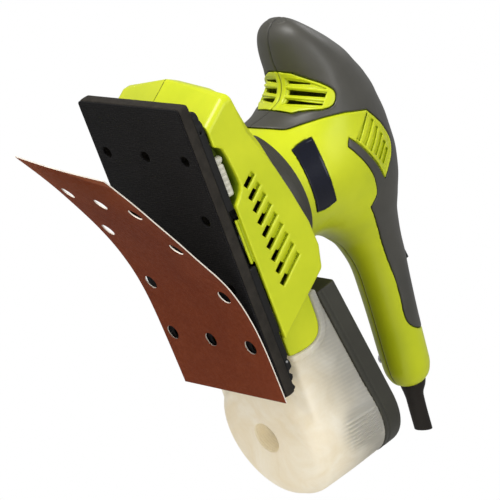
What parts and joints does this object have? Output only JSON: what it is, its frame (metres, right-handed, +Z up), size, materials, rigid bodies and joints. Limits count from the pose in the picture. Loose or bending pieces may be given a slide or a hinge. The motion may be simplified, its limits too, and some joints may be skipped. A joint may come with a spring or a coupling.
{
  "type": "orbital finishing sander",
  "caption": "Corded orbital finishing sander with a rectangular hook-faced pad, a lifted abrasive sheet, a palm nose, a rear handle and a slide-off dust canister.",
  "frame": {"origin": "centre of the pad's hook face", "axes": "+X to the nose, +Y to the tool's left side, +Z up from the pad through the motor"},
  "size_m": [0.2852, 0.0938, 0.2161],
  "materials": {
    "lime_plastic": "satin moulded",
    "soft_grip": "fine matt overmould",
    "dark_plastic": "moulded",
    "badge_plastic": "gloss",
    "pad_foam": "closed-cell foam",
    "hook_fabric": "woven hook facing",
    "abrasive": "coated abrasive on paper",
    "clear_plastic": "frosted translucent",
    "lid_plastic": "moulded",
    "lever_plastic": "moulded",
    "bright_steel": "ground",
    "lamination_steel": "stacked laminations",
    "copper_wire": "enamelled copper",
    "holder_brass": "stamped",
    "carbon": "pressed carbon",
    "die_cast": "die cast",
    "cap_yellow": "moulded case",
    "elastomer": "moulded",
    "filter_felt": "pleated felt"
  },
  "bodies": {
    "housing": {"left_housing": "lime_plastic", "right_housing": "lime_plastic", "left_grip_cover": "soft_grip", "right_grip_cover": "soft_grip", "left_intake_grille": "lime_plastic", "right_intake_grille": "lime_plastic", "left_badge": "badge_plastic", "right_badge": "badge_plastic", "neck_ring": "soft_grip", "left_base_cover": "lime_plastic", "right_base_cover": "lime_plastic", "fan_baffle": "dark_plastic", "stator_core": "lamination_steel", "field_coils": "copper_wire", "upper_bearing": "bright_steel", "bearing_bracket": "die_cast", "lower_bearing": "bright_steel", "brush_holders": "holder_brass", "carbon_brushes": "carbon", "brush_springs": "bright_steel", "switch_body": "dark_plastic", "capacitor": "cap_yellow", "wire_clamp": "dark_plastic", "cord_guard": "elastomer", "power_cord": "elastomer", "housing_screws": "bright_steel", "base_screws": "bright_steel", "isolator_posts": "elastomer"},
    "rocker": {"switch_rocker": "dark_plastic"},
    "rotor": {"motor_shaft": "bright_steel", "armature_core": "lamination_steel", "armature_windings": "copper_wire", "commutator": "copper_wire", "fan": "dark_plastic", "counterweight": "die_cast"},
    "pad": {"pad_carrier": "dark_plastic", "pad_cushion": "pad_foam", "hook_facing": "hook_fabric", "pad_bearing": "bright_steel", "pad_screws": "bright_steel", "clamp_pins": "bright_steel", "lever_pin": "bright_steel", "sheet_rear": "abrasive"},
    "front_jaw": {"front_clamp_jaw": "dark_plastic"},
    "rear_jaw": {"rear_clamp_jaw": "dark_plastic"},
    "lever": {"clamp_lever": "lever_plastic"},
    "bend_a": {"sheet_bend_a": "abrasive"},
    "bend_b": {"sheet_bend_b": "abrasive"},
    "bend_c": {"sheet_bend_c": "abrasive"},
    "bend_d": {"sheet_bend_d": "abrasive"},
    "flap": {"sheet_flap": "abrasive"},
    "canister": {"dust_pot": "clear_plastic", "pot_seal": "elastomer"},
    "lid": {"pot_lid": "lid_plastic", "filter_frame": "dark_plastic", "filter_pleats": "filter_felt"}
  },
  "joints": [
    {"name": "rotor_spin", "type": "hinge", "parent": "housing", "child": "rotor", "pos_m": [0.0015, 0, 0.06], "axis": [0, 0, 1], "continuous": true},
    {"name": "pad_orbit", "type": "hinge", "parent": "rotor", "child": "pad", "pos_m": [0.0027, 0, 0.016], "axis": [0, 0, 1], "continuous": true},
    {"name": "lever_swing", "type": "hinge", "parent": "pad", "child": "lever", "pos_m": [0.053, 0.0422, 0.017], "axis": [0, 0, -1], "range_deg": [0, 40]},
    {"name": "front_jaw_open", "type": "hinge", "parent": "pad", "child": "front_jaw", "pos_m": [0.0735, 0, 0.0102], "axis": [0, -1, 0], "range_deg": [0, 14]},
    {"name": "rear_jaw_open", "type": "hinge", "parent": "pad", "child": "rear_jaw", "pos_m": [-0.0735, 0, 0.0102], "axis": [0, 1, 0], "range_deg": [0, 14]},
    {"name": "sheet_peel_a", "type": "hinge", "parent": "pad", "child": "bend_a", "pos_m": [-0.046, 0, -0.0005], "axis": [0, 1, 0], "range_deg": [-5.7, 12]},
    {"name": "sheet_peel_b", "type": "hinge", "parent": "bend_a", "child": "bend_b", "pos_m": [-0.03207, 0, -0.00189], "axis": [0, 1, 0], "range_deg": [-5.7, 12]},
    {"name": "sheet_peel_c", "type": "hinge", "parent": "bend_b", "child": "bend_c", "pos_m": [-0.01835, 0, -0.00466], "axis": [0, 1, 0], "range_deg": [-5.7, 12]},
    {"name": "sheet_peel_d", "type": "hinge", "parent": "bend_c", "child": "bend_d", "pos_m": [-0.00496, 0, -0.00877], "axis": [0, 1, 0], "range_deg": [-5.7, 12]},
    {"name": "sheet_peel_e", "type": "hinge", "parent": "bend_d", "child": "flap", "pos_m": [0.00794, 0, -0.0142], "axis": [0, 1, 0], "range_deg": [-5.7, 12]},
    {"name": "switch_rock", "type": "hinge", "parent": "housing", "child": "rocker", "pos_m": [-0.081, 0, 0.1384], "axis": [0, 1, 0], "range_deg": [0, 16]},
    {"name": "canister_slide", "type": "slide", "parent": "housing", "child": "canister", "axis": [-1, 0, 0], "range_m": [0, 0.11]},
    {"name": "lid_lift", "type": "slide", "parent": "canister", "child": "lid", "axis": [0, 0, 1], "range_m": [0, 0.02]}
  ],
  "couplings": [
    {"joint": "pad_orbit", "follows": "rotor_spin", "ratio": -1},
    {"joint": "front_jaw_open", "follows": "lever_swing", "ratio": 0.35},
    {"joint": "sheet_peel_b", "follows": "sheet_peel_a", "ratio": 1},
    {"joint": "sheet_peel_c", "follows": "sheet_peel_a", "ratio": 1},
    {"joint": "sheet_peel_d", "follows": "sheet_peel_a", "ratio": 1},
    {"joint": "sheet_peel_e", "follows": "sheet_peel_a", "ratio": 1}
  ]
}
